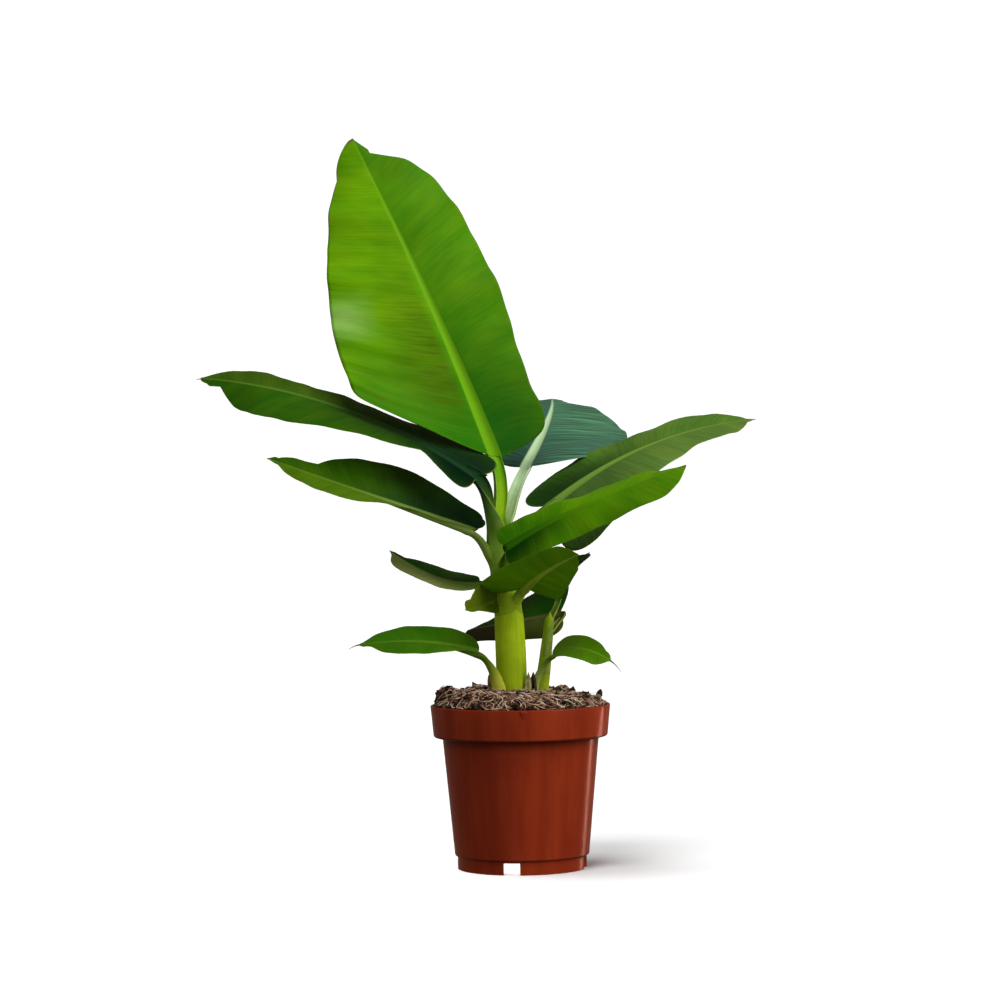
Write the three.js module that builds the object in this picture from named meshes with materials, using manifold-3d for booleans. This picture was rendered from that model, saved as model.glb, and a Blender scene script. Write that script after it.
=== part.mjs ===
// A young banana plant with one offshoot, in a round nursery pot filled with potting mix.
// Millimetres, +Z up. The plant is laid out from the pot's axis, seen from the front along +Y,
// and the whole is moved at the end so that the origin is under the middle of its overall box.
import * as THREE from "three";
import Module from "manifold-3d";

const wasm = await Module();
wasm.setup();

// Clear gap left wherever two pieces meet
const GAP = 0.3;

// Pot
const POT_HEIGHT = 110;
const RIM_RADIUS = 60;
const BAND_FOOT_RADIUS = 58;
const BAND_HEIGHT = 21.2;
const SHOULDER_RADIUS = 52.6;
const BODY_FOOT_RADIUS = 45.2;
const RING_RADIUS = 43.4;
const RING_HEIGHT = 8.4;
const RING_WALL = 2.1;
const POT_WALL = 1.8;
const FLOOR_HEIGHT = 9.2;
const EDGE = 0.5;
const FOOT_STEP = 1;
const LEDGE_DROP = 0.8;
const NOTCHES = 4;
const NOTCH_WIDTH = 9.5;
const NOTCH_HEIGHT = 8.4;
const NOTCH_DEPTH = 12;
const NOTCH_TURN = -100;
const POT_SIDES = 48;

// Potting mix, heaped above the rim and level round the stems
const HEAP_HEIGHT = 9;
const HEAP_FLAT_RADIUS = 27;
const HEAP_POWER = 4;
const HEAP_STEPS = 6;

// Stems: foot, middle and top of the axis, and the radius at each
const SOIL_TOP = POT_HEIGHT + HEAP_HEIGHT;
const STEMS = {
  main_stem: {
    foot: [-5.5, 0, SOIL_TOP + GAP],
    middle: [-7, 0, 174],
    top: [-9.5, 0, 224],
    radii: [10.4, 9.8, 6.4],
    sides: 20,
    rings: 9,
  },
  offshoot_stem: {
    foot: [14.5, 6, SOIL_TOP + GAP],
    middle: [18, 6, 147],
    top: [21, 6, 172],
    radii: [4.2, 3, 2.9],
    sides: 14,
    rings: 6,
  },
};

// Leaf blades
const THICKNESS_SHARE = 1 / 95;
const BASE_SHARE = 0.36;
const ROUND_SHARE = 0.25;
const BLUNT_START = 0.8;
const BLUNT_END = 0.97;
const BLUNT_POWER = 2.2;
const EAR_PLACE = 0.08;
const EAR_SPREAD = 0.07;
const DRIP_START = 0.955;
const DRIP_WIDTH = 0.14;
const FOLD_LOSS = 0.8;
const BLADE_START = 0.8;
const TIP_CUT = 0.985;
const END_CROWDING = 0.55;
const COLUMNS = [-1, -0.62, -0.28, -0.07, 0, 0.07, 0.28, 0.62, 1];
const RIB_SHARE = 0.5;
const LEAST_ROWS = 7;
const ROW_LENGTH = 30;

// Leaf stalks
const STALK_SIDES = 9;
const STALK_RINGS = 8;
const STALK_RISE = 0.4;
const STALK_ARRIVAL = 0.35;

// Leaves, biggest first. base, middle and end are stations of the midrib from the pot's axis. left and
// right are half widths at a quarter, a half and three quarters of the length, seen from base to end.
// roll turns the blade about its midrib at the three stations. lift folds each half up from the midrib
// and curl bends it on toward its margin. corner sweeps each base corner back (below 0) or forward, and
// ear widens each half in a lobe near its base. blunt is the share of the length where each half runs out.
// from is the height at which the stalk leaves its stem, and stalk its radius there and at the blade.
// beside moves the stalk's foot off the stem's axis, where it stands beside the stem on the soil.
const LEAVES = [
  {
    name: "leaf_top", stem: "main_stem", from: 216, stalk: [4.6, 3.9],
    base: [-15, 4, 278], middle: [-58, 24, 385], end: [-112, 75, 502],
    left: [73, 65, 49], right: [45, 47, 43], ear: [0, 16], blunt: [1, 0.97],
    roll: [-52, -47, -43], lift: [2, 4], curl: [-10, -16], corner: [28, -31], sweep: 5,
  },
  {
    name: "leaf_upper_left", stem: "main_stem", from: 196, stalk: [5.8, 4],
    base: [-28, -16, 264], middle: [-121, 7, 311], end: [-214, 36, 335],
    left: [15, 38, 33], right: [17, 18, 15], ear: [22, 13], blunt: [1, 1],
    roll: [-50, -24, -61], lift: [28, 1], curl: [-14, -14], corner: [-42, -34], sweep: 8,
  },
  {
    name: "leaf_upper_right", stem: "main_stem", from: 200, stalk: [4.4, 3.4],
    base: [21, -2, 242], middle: [88, 15, 281], end: [164, 36, 300],
    left: [31, 33, 36], right: [46, 31, 18],
    roll: [46, 24, 19], lift: [-15, 0], curl: [-8, -5], corner: [-50, -35], sweep: 14,
  },
  {
    name: "leaf_back", stem: "main_stem", from: 214, stalk: [4.2, 3.4],
    base: [6, 30, 272], middle: [23, 107, 304], end: [30, 173, 319],
    left: [45, 51, 44], right: [53, 58, 44],
    roll: [-6, 13, -2], lift: [11, 8], curl: [-11, -12], corner: [-20, -20], sweep: 11,
  },
  {
    name: "leaf_mid_left", stem: "main_stem", from: 172, stalk: [5.4, 3.8],
    base: [-35, -8, 226], middle: [-100, -25, 251], end: [-164, -42, 277],
    left: [5, 18, 22], right: [39, 36, 17], ear: [0, 12],
    roll: [-3, -26, -34], lift: [27, 32], curl: [-5, -3], corner: [-2, -56], sweep: 14,
  },
  {
    name: "leaf_mid_right", stem: "main_stem", from: 176, stalk: [4.6, 3.6],
    base: [-10, -42, 217], middle: [41, -51, 243], end: [110, -66, 270],
    left: [19, 15, 9], right: [24, 26, 28], ear: [4, 5],
    roll: [50, 38, 24], lift: [-4, -14], curl: [-14, -10], corner: [-30, -46], sweep: 14,
  },
  {
    name: "leaf_front", stem: "main_stem", from: 158, stalk: [4.4, 3.2],
    base: [4, -19, 189], middle: [18, -63, 201], end: [34, -109, 211],
    left: [21, 17, 14], right: [38, 34, 28],
    roll: [2, 0, -8], lift: [-16, -14], curl: [-10, 30], corner: [-25, -42], sweep: 14,
  },
  {
    name: "leaf_front_left", stem: "main_stem", from: 150, stalk: [3.6, 2.4],
    base: [-15, -14, 174], middle: [-23, -27, 175], end: [-33, -43, 172],
    left: [10, 10, 7], right: [16, 15, 10],
    roll: [-19, -23, -21], lift: [8, 36], curl: [-9, -4], corner: [-25, -25], sweep: 12,
  },
  {
    name: "leaf_low_left", stem: "main_stem", from: 166, stalk: [3.4, 2.4],
    base: [-25, 9, 192], middle: [-55, 23, 196], end: [-87, 36, 213],
    left: [20, 19, 15], right: [16, 21, 14],
    roll: [-29, -8, -22], lift: [10, 12], curl: [-9, -10], corner: [-25, -25], sweep: 11,
  },
  {
    name: "leaf_bottom_left", stem: "main_stem", from: 120, beside: [-9, -4], stalk: [5.4, 3.2],
    base: [-28, -14, 146], middle: [-66, -26, 154], end: [-106, -36, 153],
    left: [17, 24, 17], right: [21, 20, 15],
    roll: [-20, -24, -26], lift: [24, 22], curl: [-12, -13], corner: [-9, -25], sweep: 10,
  },
  {
    name: "offshoot_leaf_back", stem: "offshoot_stem", from: 150, stalk: [2.2, 1.8],
    base: [26, 24, 170], middle: [-4, 38, 163], end: [-39, 49, 155],
    left: [22, 20, 15], right: [27, 24, 15],
    roll: [-46, -26, -14], lift: [2, 16], curl: [-15, -11], corner: [-34, -24], sweep: 12,
  },
  {
    name: "offshoot_leaf_right", stem: "offshoot_stem", from: 120, beside: [4, -2], stalk: [2.6, 2.1],
    base: [22, -4, 144], middle: [40, -18, 148], end: [61, -30, 142],
    left: [14, 13, 8], right: [16, 15, 13],
    roll: [24, 20, 24], lift: [23, 12], curl: [-9, -12], corner: [-25, -10], sweep: 12,
  },
  {
    name: "offshoot_leaf_top", stem: "offshoot_stem", from: 158, stalk: [2.2, 1.8],
    base: [27, 12, 181], middle: [34, 20, 196], end: [49, 32, 211],
    left: [12, 12, 9], right: [14, 12, 10],
    roll: [0, -3, 0], lift: [30, 29], curl: [10, 8], corner: [-25, -25], sweep: 12,
  },
];

const UP = new THREE.Vector3(0, 0, 1);
const radians = THREE.MathUtils.degToRad;
const clamp = THREE.MathUtils.clamp;
const point = (values) => new THREE.Vector3(...values);

// Value at share t of a run, from its values at the start, the middle and the end
function along(values, t) {
  const [start, middle, end] = values;
  return start * (1 - t) * (1 - 2 * t) + middle * 4 * t * (1 - t) + end * t * (2 * t - 1);
}

// Point and direction at share t of the smooth curve through three stations
function curveAt(stations, t) {
  const [start, middle, end] = stations;
  const pull = middle.clone().multiplyScalar(2).addScaledVector(start, -0.5).addScaledVector(end, -0.5);
  const place = start.clone().multiplyScalar((1 - t) ** 2);
  place.addScaledVector(pull, 2 * t * (1 - t)).addScaledVector(end, t * t);
  const way = pull.clone().sub(start).multiplyScalar(1 - t);
  way.addScaledVector(end.clone().sub(pull), t).normalize();
  return { place, way };
}

function midrib(leaf, t) {
  return curveAt([point(leaf.base), point(leaf.middle), point(leaf.end)], t);
}

function bladeLength(leaf) {
  const steps = 40;
  let length = 0;
  for (let i = 0; i < steps; i += 1) {
    length += midrib(leaf, i / steps).place.distanceTo(midrib(leaf, (i + 1) / steps).place);
  }
  return length;
}

function bladeThickness(leaf) {
  return bladeLength(leaf) * THICKNESS_SHARE;
}

// Half width of a blade at share t of its length: a round base, a blunt end and a short drip tip
function halfWidth(leaf, half, t) {
  const widths = half ? leaf.right : leaf.left;
  const ear = (leaf.ear ?? [0, 0])[half] * Math.exp(-(((t - EAR_PLACE) / EAR_SPREAD) ** 2));
  const body = Math.max(along(widths, (t - 0.25) / 0.5), BASE_SHARE * widths[0]) + ear;
  const base = Math.sqrt(1 - clamp(1 - t / ROUND_SHARE, 0, 1) ** 2);
  const last = (leaf.blunt ?? [BLUNT_END, BLUNT_END])[half];
  const end = 1 - clamp((t - BLUNT_START) / (last - BLUNT_START), 0, 1) ** BLUNT_POWER;
  const drip = t > 0.5 ? DRIP_WIDTH * widths[1] * clamp((1 - t) / (1 - DRIP_START), 0, 1) : 0;
  return Math.max(body * base * end, drip);
}

// Directions of a blade at share t: along it, out to its left and up from its upper face
function bladeFrame(leaf, t) {
  const { place, way } = midrib(leaf, t);
  const level = UP.clone().cross(way).normalize();
  const above = way.clone().cross(level);
  const roll = radians(along(leaf.roll, t));
  const left = level.clone().multiplyScalar(Math.cos(roll)).addScaledVector(above, Math.sin(roll));
  const up = above.clone().multiplyScalar(Math.cos(roll)).addScaledVector(level, -Math.sin(roll));
  return { place, way, left, up };
}

// Point on a blade and the way its upper face looks there; share across runs from -1 (left) to 1 (right)
function bladePoint(leaf, t, across) {
  const { place, way, left, up } = bladeFrame(leaf, t);
  const half = across > 0 ? 1 : 0;
  const hand = across > 0 ? -1 : 1;
  const q = Math.abs(across);
  const width = halfWidth(leaf, half, t);
  const start = radians(leaf.lift[half]) * (1 - FOLD_LOSS * t);
  const bend = radians(leaf.curl[half]);
  const out = (width / bend) * (Math.sin(start + bend * q) - Math.sin(start));
  const rise = (width / bend) * (Math.cos(start) - Math.cos(start + bend * q));
  const lean = radians(leaf.corner[half] * (1 - t) ** 2 + leaf.sweep * t);
  place.addScaledVector(left, hand * out).addScaledVector(up, rise);
  place.addScaledVector(way, Math.tan(lean) * q * q * width);
  const angle = (start + bend * q) * Math.min(1, (q * width) / bladeThickness(leaf));
  const face = up.clone().multiplyScalar(Math.cos(angle)).addScaledVector(left, -hand * Math.sin(angle));
  return { place, face };
}

// Closed body from rings of points, each ring counted round the same way, with flat ends
function ringBody(rings) {
  const count = rings[0].length;
  const vertices = rings.flat();
  const faces = [];
  for (let i = 0; i + 1 < rings.length; i += 1) {
    for (let a = 0; a < count; a += 1) {
      const b = (a + 1) % count;
      const low = i * count;
      const high = low + count;
      faces.push(low + a, low + b, high + b, low + a, high + b, high + a);
    }
  }
  const last = (rings.length - 1) * count;
  for (let a = 1; a + 1 < count; a += 1) {
    faces.push(0, a + 1, a, last, last + a, last + a + 1);
  }
  return bodyFrom(vertices, faces);
}

function bodyFrom(vertices, faces) {
  const geometry = new THREE.BufferGeometry();
  const flat = vertices.flatMap((v) => [v.x, v.y, v.z]);
  geometry.setAttribute("position", new THREE.Float32BufferAttribute(flat, 3));
  geometry.setIndex(faces);
  return geometry;
}

// Solid of revolution about Z from a profile of [radius, height] that starts and ends on the axis
function revolve(profile, sides) {
  const vertices = [];
  const rows = profile.map(([radius, height]) => {
    const row = [];
    const copies = radius === 0 ? 1 : sides;
    for (let a = 0; a < copies; a += 1) {
      const turn = (2 * Math.PI * a) / sides;
      row.push(vertices.length);
      vertices.push(new THREE.Vector3(radius * Math.cos(turn), radius * Math.sin(turn), height));
    }
    return row;
  });
  const faces = [];
  for (let i = 0; i + 1 < rows.length; i += 1) {
    for (let a = 0; a < sides; a += 1) {
      const b = (a + 1) % sides;
      const [low, high] = [rows[i], rows[i + 1]];
      if (low.length === 1) {
        faces.push(low[0], high[b], high[a]);
      } else if (high.length === 1) {
        faces.push(low[a], low[b], high[0]);
      } else {
        faces.push(low[a], low[b], high[b], low[a], high[b], high[a]);
      }
    }
  }
  return bodyFrom(vertices, faces);
}

function solidOf(geometry) {
  const mesh = new wasm.Mesh({
    numProp: 3,
    vertProperties: new Float32Array(geometry.getAttribute("position").array),
    triVerts: new Uint32Array(geometry.getIndex().array),
  });
  mesh.merge();
  return new wasm.Manifold(mesh);
}

function geometryOf(solid) {
  const mesh = solid.getMesh();
  const geometry = new THREE.BufferGeometry();
  geometry.setAttribute("position", new THREE.Float32BufferAttribute(mesh.vertProperties, 3));
  geometry.setIndex(Array.from(mesh.triVerts));
  return geometry;
}

// What is left of a body after others are cut from it: its largest piece
function carve(geometry, cutters) {
  let solid = solidOf(geometry);
  for (const cutter of cutters) {
    solid = solid.subtract(solidOf(cutter));
  }
  const pieces = solid.decompose();
  pieces.sort((a, b) => b.volume() - a.volume());
  return geometryOf(pieces[0]);
}

// Round body along a stem's axis, its radius and length grown by an allowance
function stemBody(stem, grow = 0) {
  const stations = [point(stem.foot), point(stem.middle), point(stem.top)];
  const rings = [];
  for (let i = 0; i <= stem.rings; i += 1) {
    const t = i / stem.rings;
    const { place, way } = curveAt(stations, t);
    const across = new THREE.Vector3(1, 0, 0).addScaledVector(way, -way.x).normalize();
    const back = way.clone().cross(across);
    const radius = along(stem.radii, t) + grow;
    if (i === 0) {
      place.z -= grow;
    }
    if (i === stem.rings) {
      place.addScaledVector(way, grow);
    }
    const ring = [];
    for (let a = 0; a < stem.sides; a += 1) {
      const turn = (2 * Math.PI * a) / stem.sides;
      const spot = place.clone().addScaledVector(across, radius * Math.cos(turn));
      spot.addScaledVector(back, radius * Math.sin(turn));
      if (i === 0) {
        spot.z = place.z;
      }
      ring.push(spot);
    }
    rings.push(ring);
  }
  return ringBody(rings);
}

// Where a stem's axis is at a height
function stemAt(stem, height) {
  const stations = [point(stem.foot), point(stem.middle), point(stem.top)];
  const t = clamp((height - stem.foot[2]) / (stem.top[2] - stem.foot[2]), 0, 1);
  return curveAt(stations, t);
}

// Leaf stalk: leaves the stem along it, arrives along the midrib and stops short of the blade
function stalkBody(leaf, grow = 0) {
  const root = stemAt(STEMS[leaf.stem], leaf.from);
  const [aside, back] = leaf.beside ?? [0, 0];
  root.place.add(new THREE.Vector3(aside, back, 0));
  const blade = midrib(leaf, 0);
  const reach = root.place.distanceTo(blade.place);
  const first = root.place.clone().addScaledVector(root.way, STALK_RISE * reach);
  const second = blade.place.clone().addScaledVector(blade.way, -STALK_ARRIVAL * reach);
  const curve = new THREE.CubicBezierCurve3(root.place, first, second, blade.place);
  const length = curve.getLength();
  const stop = 1 - (GAP - bladeBack(leaf, blade) - grow) / length;
  const heading = blade.place.clone().sub(root.place).setZ(0);
  const level = UP.clone().cross(heading).normalize();
  const rings = [];
  for (let i = 0; i <= STALK_RINGS; i += 1) {
    const share = (stop * i) / STALK_RINGS;
    const way = curve.getTangentAt(Math.min(share, 1));
    const place = curve.getPointAt(Math.min(share, 1));
    place.addScaledVector(way, length * Math.max(0, share - 1));
    const left = level.clone().addScaledVector(way, -way.dot(level)).normalize();
    const up = way.clone().cross(left);
    const radius = THREE.MathUtils.lerp(leaf.stalk[0], leaf.stalk[1], share) + grow;
    const ring = [];
    for (let a = 0; a < STALK_SIDES; a += 1) {
      const turn = (2 * Math.PI * a) / STALK_SIDES;
      const spot = place.clone().addScaledVector(left, radius * Math.cos(turn));
      ring.push(spot.addScaledVector(up, radius * Math.sin(turn)));
    }
    rings.push(ring);
  }
  return ringBody(rings);
}

// Share of the length at which the solid blade starts
function bladeStart(leaf) {
  return BLADE_START / bladeLength(leaf);
}

// How far along the midrib the blade's rearmost point lies, within the breadth of the stalk
function bladeBack(leaf, blade) {
  const corners = COLUMNS.map((across) => bladePoint(leaf, bladeStart(leaf), across).place);
  const steps = 8;
  let back = BLADE_START;
  for (let i = 0; i < (corners.length - 1) * steps; i += 1) {
    const first = Math.floor(i / steps);
    const spot = corners[first].clone().lerp(corners[first + 1], (i % steps) / steps);
    const arm = spot.sub(blade.place);
    const ahead = arm.dot(blade.way);
    const aside = Math.sqrt(Math.max(0, arm.lengthSq() - ahead * ahead));
    if (aside < leaf.stalk[1] + 2 * GAP) {
      back = Math.min(back, ahead);
    }
  }
  return back;
}

// Leaf blade: upper and lower face a thickness apart, with the midrib standing out below
function bladeBody(leaf) {
  const length = bladeLength(leaf);
  const thickness = bladeThickness(leaf);
  const rows = Math.round(LEAST_ROWS + length / ROW_LENGTH);
  const first = bladeStart(leaf);
  const upper = [];
  const lower = [];
  for (let i = 0; i <= rows; i += 1) {
    const share = i / rows - (END_CROWDING * Math.sin((2 * Math.PI * i) / rows)) / (2 * Math.PI);
    const t = first + (TIP_CUT - first) * share;
    const rib = leaf.stalk[1] * RIB_SHARE * (1 - t);
    for (const across of COLUMNS) {
      const { place, face } = bladePoint(leaf, t, across);
      const depth = across === 0 ? thickness / 2 + rib : thickness / 2;
      upper.push(place.clone().addScaledVector(face, thickness / 2));
      lower.push(place.clone().addScaledVector(face, -depth));
    }
  }
  const wide = COLUMNS.length;
  const below = upper.length;
  const faces = [];
  const quad = (a, b, c, d) => faces.push(a, b, c, a, c, d);
  for (let i = 0; i < rows; i += 1) {
    for (let j = 0; j + 1 < wide; j += 1) {
      const a = i * wide + j;
      const b = a + wide;
      quad(a, a + 1, b + 1, b);
      quad(below + a, below + b, below + b + 1, below + a + 1);
    }
    const left = i * wide;
    const right = left + wide - 1;
    quad(left, left + wide, below + left + wide, below + left);
    quad(right, below + right, below + right + wide, right + wide);
  }
  const tip = rows * wide;
  for (let j = 0; j + 1 < wide; j += 1) {
    quad(j, below + j, below + j + 1, j + 1);
    quad(tip + j, tip + j + 1, below + tip + j + 1, below + tip + j);
  }
  return bodyFrom(upper.concat(lower), faces);
}

// Pot: foot ring with notches, tapered body and a wider band at the rim
function potBody() {
  const bandFoot = POT_HEIGHT - BAND_HEIGHT;
  const profile = [
    [0, FLOOR_HEIGHT],
    [RING_RADIUS - RING_WALL, FLOOR_HEIGHT],
    [RING_RADIUS - RING_WALL, 0],
    [RING_RADIUS, 0],
    [RING_RADIUS, RING_HEIGHT],
    [BODY_FOOT_RADIUS, RING_HEIGHT + FOOT_STEP],
    [SHOULDER_RADIUS, bandFoot - LEDGE_DROP],
    [BAND_FOOT_RADIUS - EDGE, bandFoot],
    [BAND_FOOT_RADIUS, bandFoot + EDGE],
    [RIM_RADIUS, POT_HEIGHT - EDGE],
    [RIM_RADIUS - EDGE, POT_HEIGHT],
    [RIM_RADIUS - POT_WALL, POT_HEIGHT],
    [BAND_FOOT_RADIUS - POT_WALL, bandFoot + POT_WALL],
    [SHOULDER_RADIUS - POT_WALL, bandFoot + POT_WALL - LEDGE_DROP],
    [BODY_FOOT_RADIUS - POT_WALL, FLOOR_HEIGHT + POT_WALL],
    [0, FLOOR_HEIGHT + POT_WALL],
  ];
  const cutters = [];
  for (let i = 0; i < NOTCHES; i += 1) {
    const notch = new THREE.BoxGeometry(NOTCH_DEPTH, NOTCH_WIDTH, 2 * NOTCH_HEIGHT);
    notch.translate(RING_RADIUS, 0, 0);
    notch.rotateZ(radians(NOTCH_TURN + (360 * i) / NOTCHES));
    cutters.push(notch);
  }
  return carve(revolve(profile, POT_SIDES), cutters);
}

// Potting mix: fills the pot and heaps up over the rim, level in the middle
function soilBody() {
  const bandFoot = POT_HEIGHT - BAND_HEIGHT;
  const floor = FLOOR_HEIGHT + POT_WALL + GAP;
  const edge = RIM_RADIUS - POT_WALL - GAP;
  const profile = [
    [0, floor],
    [BODY_FOOT_RADIUS - POT_WALL - GAP, floor],
    [SHOULDER_RADIUS - POT_WALL - GAP, bandFoot + POT_WALL - LEDGE_DROP + GAP],
    [BAND_FOOT_RADIUS - POT_WALL - GAP, bandFoot + POT_WALL + GAP],
    [edge, POT_HEIGHT],
  ];
  for (let i = 1; i <= HEAP_STEPS; i += 1) {
    const share = i / HEAP_STEPS;
    const radius = THREE.MathUtils.lerp(edge, HEAP_FLAT_RADIUS, share);
    profile.push([radius, POT_HEIGHT + HEAP_HEIGHT * (1 - (1 - share) ** HEAP_POWER)]);
  }
  profile.push([0, SOIL_TOP]);
  return revolve(profile, POT_SIDES);
}

const LOOKS = {
  pot: { color: 0x8a3a22, roughness: 0.35, metalness: 0 },
  soil: { color: 0x3b2c22, roughness: 0.95, metalness: 0 },
  stem: { color: 0x8aa52a, roughness: 0.5, metalness: 0 },
  stalk: { color: 0x7fa03a, roughness: 0.5, metalness: 0 },
  blade: { color: 0x3f7d1e, roughness: 0.45, metalness: 0 },
};

const plant = new THREE.Group();
plant.name = "potted_banana_plant";

function add(name, geometry, look) {
  const plain = geometry.index ? geometry.toNonIndexed() : geometry;
  plain.computeVertexNormals();
  const mesh = new THREE.Mesh(plain, new THREE.MeshStandardMaterial(LOOKS[look]));
  mesh.name = name;
  plant.add(mesh);
}

add("pot", potBody(), "pot");
add("soil", soilBody(), "soil");
for (const [name, stem] of Object.entries(STEMS)) {
  add(name, stemBody(stem), "stem");
}

// Each stalk is cut back from both stems and from the stalks placed before it
const cutters = Object.values(STEMS).map((stem) => stemBody(stem, GAP));
for (const leaf of LEAVES) {
  add(`${leaf.name}_stalk`, carve(stalkBody(leaf), cutters), "stalk");
  add(`${leaf.name}_blade`, bladeBody(leaf), "blade");
  cutters.push(stalkBody(leaf, GAP));
}

// Origin: on the ground under the middle of the overall box
const box = new THREE.Box3().setFromObject(plant);
const centre = box.getCenter(new THREE.Vector3());
for (const mesh of plant.children) {
  mesh.geometry.translate(-centre.x, -centre.y, -box.min.z);
}

export default plant;
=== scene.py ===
# A young banana plant with one offshoot in a glossy nursery pot: the detailed visual model.
# The plant is laid out in millimetres from the pot's axis, seen from the front along +Y.
import math

import bmesh
import bpy
import numpy as np
from mathutils import Matrix, Vector


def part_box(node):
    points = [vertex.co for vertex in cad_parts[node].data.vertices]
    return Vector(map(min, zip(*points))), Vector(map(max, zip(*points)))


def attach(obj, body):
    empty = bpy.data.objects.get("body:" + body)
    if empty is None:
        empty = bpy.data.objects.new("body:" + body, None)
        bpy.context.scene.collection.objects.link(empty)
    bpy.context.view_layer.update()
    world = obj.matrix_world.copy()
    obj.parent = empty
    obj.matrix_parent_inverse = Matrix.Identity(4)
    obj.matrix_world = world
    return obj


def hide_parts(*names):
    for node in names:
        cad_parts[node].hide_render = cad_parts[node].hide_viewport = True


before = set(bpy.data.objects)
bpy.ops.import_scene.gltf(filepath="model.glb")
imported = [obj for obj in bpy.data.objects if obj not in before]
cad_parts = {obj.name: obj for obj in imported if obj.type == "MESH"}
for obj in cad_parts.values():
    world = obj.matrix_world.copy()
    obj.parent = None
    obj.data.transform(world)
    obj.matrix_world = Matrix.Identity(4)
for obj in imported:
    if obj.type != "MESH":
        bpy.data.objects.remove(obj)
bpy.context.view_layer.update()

MM = 0.001
UP = np.array([0.0, 0.0, 1.0])
POT_LOW, POT_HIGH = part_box("pot")
POT_AXIS = np.array([(POT_LOW.x + POT_HIGH.x) / 2, (POT_LOW.y + POT_HIGH.y) / 2, 0.0])

# Pot, in millimetres
POT_HEIGHT = 110
RIM_RADIUS = 60.6
BAND_FOOT_RADIUS = 58.6
BAND_HEIGHT = 21.2
SHOULDER_RADIUS = 52.6
BODY_FOOT_RADIUS = 45.2
RING_RADIUS = 43.4
RING_HEIGHT = 8.4
RING_WALL = 2.1
POT_WALL = 1.8
FLOOR_HEIGHT = 9.2
FOOT_STEP = 1
LEDGE_DROP = 0.8
NOTCHES = 4
NOTCH_WIDTH = 11.5
NOTCH_TURN = -100
POT_SIDES = 240
GATE_PLACE = 1.6
GATE_WIDTH = 5.2
GATE_HEIGHT = 4.6
GATE_DEPTH = 0.8

# Potting mix
HEAP_HEIGHT = 8.6
HEAP_FLAT_RADIUS = 27
HEAP_POWER = 4
HEAP_TILT = 0.07
CLUMPS = [(-48, -6, 6, 5), (-56, -3, 6, 5), (53, -8, 5, 4), (-30, -38, 3, 7), (-26, -4, 4, 9), (30, 34, 3, 7), (38, -30, 2, 6)]
SOIL_TOP = POT_HEIGHT + HEAP_HEIGHT
SOIL_EDGE = RIM_RADIUS - POT_WALL - 0.3
GOLDEN = (1 + math.sqrt(5)) / 2

# Stems: foot, middle and top of the axis, and the radius at each
STEMS = {
    "main_stem": dict(
        stations=[(-5.5, 0, SOIL_TOP), (-7, 0, 174), (-11, 0, 224)], radii=(9.8, 9.4, 6.8)
    ),
    "offshoot_stem": dict(
        stations=[(14.5, 6, SOIL_TOP), (18, 6, 147), (21, 6, 172)], radii=(5.2, 4.4, 3.2)
    ),
}

# Leaf blades and stalks
BASE_SHARE = 0.36
ROUND_SHARE = 0.25
BLUNT_START = 0.8
BLUNT_END = 0.97
BLUNT_POWER = 2.2
TIP_START = 0.93
EAR_PLACE = 0.08
EAR_SPREAD = 0.085
DRIP_START = 0.955
DRIP_WIDTH = 0.14
MARGIN_GROWTH = 0.7
FOLD_LOSS = 0.8
STALK_RISE = 0.4
STALK_ARRIVAL = 0.35
BLADE_THICKNESS = 0.4
ROW_STEP = 0.8
RIB_COLUMNS = (0.0, 0.35, 0.65, 0.88, 1.0)
LAMINA_COLUMNS = 26
SCALE_THICKNESS = 0.5
VEIN_LEAN = 0.4
VEIN_PERIOD = 4.2
VEIN_DEPTH = 0.04
PLEAT_PERIOD = 15
PLEAT_DEPTH = 0.12

# Studio light
SKY_LOW = 0.27
SKY_HIGH = 0.38
GLOSS_SKY = (0.7, 0.46, 0.36, 1)
FLOOR_SUNS = {"floor_sun_front": ((-0.55, -1, 0.85), 2.5), "floor_sun_side": ((-1, 0.1, 2), 1.5)}
FLOOR_SUN_SPREAD = math.radians(40)

# Finish
LEAF_GLOSS = 0.02
POT_GLOSS = 0.09
SOIL_GLOSS = 0.1
MARGIN_TINT = (112, 130, 50)
LIP_TINT = (170, 186, 90)
DRY_TINT = (96, 76, 40)
CLOUD_SCALE = 16

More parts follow.
